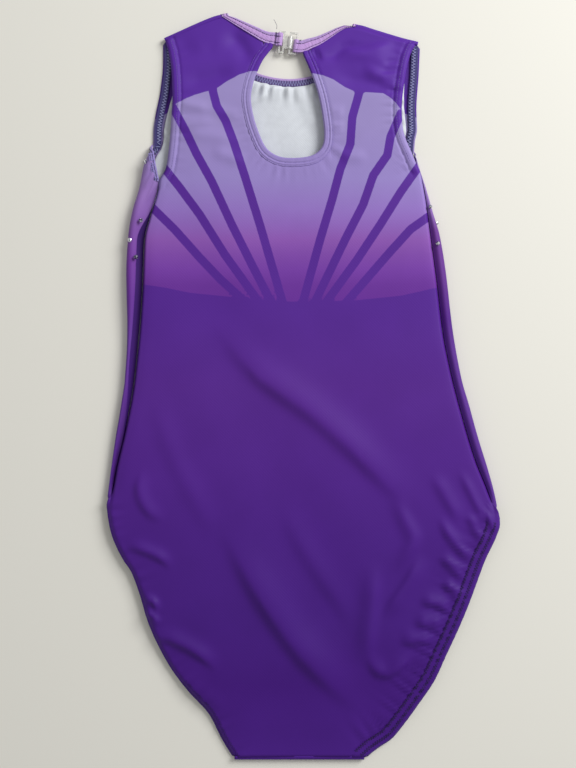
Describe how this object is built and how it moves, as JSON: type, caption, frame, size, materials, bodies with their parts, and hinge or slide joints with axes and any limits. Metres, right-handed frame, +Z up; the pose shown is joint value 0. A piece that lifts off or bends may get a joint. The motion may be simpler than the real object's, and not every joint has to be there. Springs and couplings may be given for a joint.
{
  "type": "gymnastics leotard",
  "caption": "Sleeveless stretch-knit gymnastics leotard laid flat, back up, with a bound keyhole back, elastic edges and a two-part neck clasp.",
  "frame": {"origin": "on the resting surface, under the middle of the laid garment", "axes": "+Y from the crotch to the neck, +Z up out of the back, +X to the right of the laid garment seen from above"},
  "size_m": [0.2945, 0.562, 0.0107],
  "materials": {
    "printed_knit_back": "satin stretch knit, sublimation printed",
    "printed_knit_front": "satin stretch knit, sublimation printed",
    "lining": "matt white lining knit",
    "neck_band": "satin folded binding, coverstitched",
    "keyhole_band": "satin folded binding, coverstitched",
    "inside_hem": "turned hem with looper stitching",
    "elastic": "matt flat elastic",
    "seam_thread": "polyester thread",
    "clear_plastic": "clear moulded",
    "crystal": "cut, foil backed"
  },
  "bodies": {
    "garment": {"back_panel": "printed_knit_back", "front_panel": "printed_knit_front", "front_lining": "lining", "crotch_lining": "lining", "neck_binding": "neck_band", "neck_elastic": "elastic", "keyhole_binding": "keyhole_band", "armhole_elastic_left": "elastic", "armhole_hem_left": "inside_hem", "leg_elastic_left": "elastic", "leg_hem_left": "inside_hem", "shoulder_seam_left": "printed_knit_back", "side_seam_left": "seam_thread", "bartack_left": "seam_thread", "armhole_elastic_right": "elastic", "armhole_hem_right": "inside_hem", "leg_elastic_right": "elastic", "leg_hem_right": "inside_hem", "shoulder_seam_right": "printed_knit_back", "side_seam_right": "seam_thread", "bartack_right": "seam_thread", "crotch_seam": "printed_knit_back", "rhinestone_left_1": "crystal", "rhinestone_left_2": "crystal", "rhinestone_left_3": "crystal", "rhinestone_left_4": "crystal", "rhinestone_right_1": "crystal", "rhinestone_right_2": "crystal", "rhinestone_right_3": "crystal"},
    "hook": {"clasp_hook": "clear_plastic"},
    "socket": {"clasp_socket": "clear_plastic"}
  },
  "joints": [
    {"name": "hook_swivel", "type": "hinge", "parent": "garment", "child": "hook", "pos_m": [-0.01761, 0.25906, 0.00372], "axis": [-0.1045, -0.9945, 0], "range_deg": [0, 120]},
    {"name": "socket_swivel", "type": "hinge", "parent": "garment", "child": "socket", "pos_m": [-0.00498, 0.25774, 0.00372], "axis": [-0.1045, -0.9945, 0], "range_deg": [0, 90]}
  ]
}
